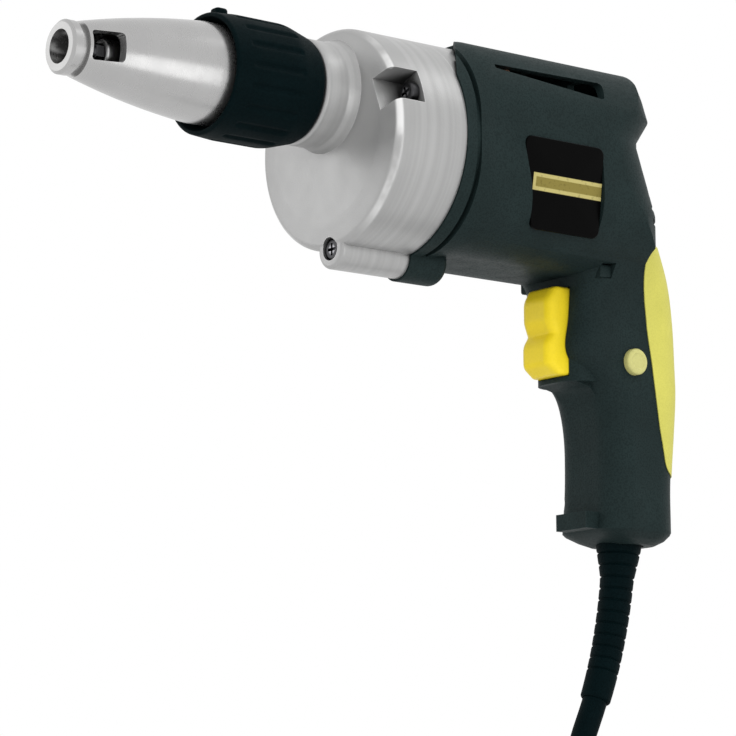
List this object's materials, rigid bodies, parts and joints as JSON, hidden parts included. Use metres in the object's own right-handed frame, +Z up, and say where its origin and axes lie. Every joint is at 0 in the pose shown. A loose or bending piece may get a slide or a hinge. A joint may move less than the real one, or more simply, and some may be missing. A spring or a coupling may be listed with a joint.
{
  "type": "corded drywall screwdriver",
  "caption": "Corded pistol-grip screwdriver with an offset spindle, a cone depth nose set by a turning collar, a trigger, a lock button, a push-to-engage clutch and a coiled mains cord.",
  "frame": {"origin": "middle of the grip, on the tool's middle plane", "axes": "+X along the spindle towards the nose, +Y to the operator's left, +Z up"},
  "size_m": [0.3503, 0.0784, 0.44],
  "materials": {
    "cast_alloy": "die-cast, fine blasted, clear matt",
    "turned_alloy": "turned and satin plated",
    "black_plastic": "fine spark-eroded moulding texture",
    "black_rubber": "smooth moulded",
    "yellow_rubber": "soft matt overmould",
    "yellow_plastic": "semi-gloss moulding",
    "pale_plastic": "semi-gloss moulding",
    "panel_film": "gloss black plate with a plain yellow band",
    "steel": "ground",
    "dark_steel": "oiled black oxide",
    "lamination": "stacked sheet, varnished",
    "copper": "enamelled copper",
    "bronze": "sintered bronze",
    "insulation": "moulded phenolic",
    "carbon": "pressed carbon",
    "lead_sleeve": "soft lead insulation"
  },
  "bodies": {
    "base": {"gear_case": "cast_alloy", "bearing_plate": "cast_alloy", "left_housing": "black_plastic", "right_housing": "black_plastic", "cord_clamp": "black_plastic", "cord_guard": "black_rubber", "mains_cord": "black_rubber", "cord_coil": "black_rubber", "cord_tail": "black_rubber", "coil_tie": "black_rubber", "plug_body": "black_rubber", "bearing_boot": "black_rubber", "collar_o_ring": "black_rubber", "spindle_seal": "black_rubber", "backstrap_grip": "yellow_rubber", "side_panel": "panel_film", "thrust_washer": "steel", "collar_clip": "steel", "front_bearing_outer": "steel", "rear_bearing_outer": "steel", "brush_springs": "steel", "trigger_spring": "steel", "lock_spring": "steel", "clamp_screws": "steel", "plug_pins": "steel", "case_screws": "dark_steel", "housing_screws": "dark_steel", "field_stack": "lamination", "field_coils": "copper", "spindle_bushes": "bronze", "gear_bush": "bronze", "brush_holders": "bronze", "switch_body": "insulation", "air_baffle": "insulation", "carbon_brushes": "carbon", "inner_leads": "lead_sleeve"},
    "collar": {"adjusting_collar": "black_rubber"},
    "nose": {"depth_nose": "turned_alloy"},
    "armature": {"motor_shaft": "steel", "armature_core": "lamination", "armature_windings": "copper", "commutator": "copper", "cooling_fan": "insulation", "front_bearing_inner": "steel", "rear_bearing_inner": "steel"},
    "gear": {"drive_gear": "steel", "clutch_spring": "steel"},
    "spindle": {"output_spindle": "steel", "bit_holder": "steel", "holder_ring": "steel", "screw_bit": "dark_steel"},
    "trigger": {"trigger": "yellow_plastic", "switch_plunger": "insulation"},
    "lock": {"lock_button": "pale_plastic"},
    "reverse": {"reversing_bar": "black_plastic"}
  },
  "joints": [
    {"name": "collar_turn", "type": "hinge", "parent": "base", "child": "collar", "pos_m": [0.17, 0, 0.0947], "axis": [1, 0, 0], "range_deg": [-180, 180]},
    {"name": "nose_slide", "type": "slide", "parent": "base", "child": "nose", "axis": [1, 0, 0], "range_m": [-0.0031, 0.0031]},
    {"name": "armature_spin", "type": "hinge", "parent": "base", "child": "armature", "pos_m": [0.05, 0, 0.08], "axis": [1, 0, 0], "continuous": true},
    {"name": "gear_spin", "type": "hinge", "parent": "base", "child": "gear", "pos_m": [0.11, 0, 0.0947], "axis": [1, 0, 0], "continuous": true},
    {"name": "spindle_push", "type": "slide", "parent": "gear", "child": "spindle", "axis": [1, 0, 0], "range_m": [-0.004, 0], "stiffness_N_per_m": 1500, "springref_m": 0.004, "deforming": ["clutch_spring"]},
    {"name": "trigger_pull", "type": "slide", "parent": "base", "child": "trigger", "axis": [-1, 0, 0], "range_m": [0, 0.0065], "stiffness_N_per_m": 900, "springref_m": -0.004, "deforming": ["trigger_spring"]},
    {"name": "lock_press", "type": "slide", "parent": "base", "child": "lock", "axis": [0, -1, 0], "range_m": [0, 0.0022], "stiffness_N_per_m": 600, "springref_m": -0.003, "deforming": ["lock_spring"]},
    {"name": "reverse_shift", "type": "slide", "parent": "base", "child": "reverse", "axis": [0, 1, 0], "range_m": [-0.002, 0.002]}
  ],
  "couplings": [
    {"joint": "nose_slide", "follows": "collar_turn", "m_per_rad": 0.00095493},
    {"joint": "gear_spin", "follows": "armature_spin", "ratio": -0.19512}
  ]
}
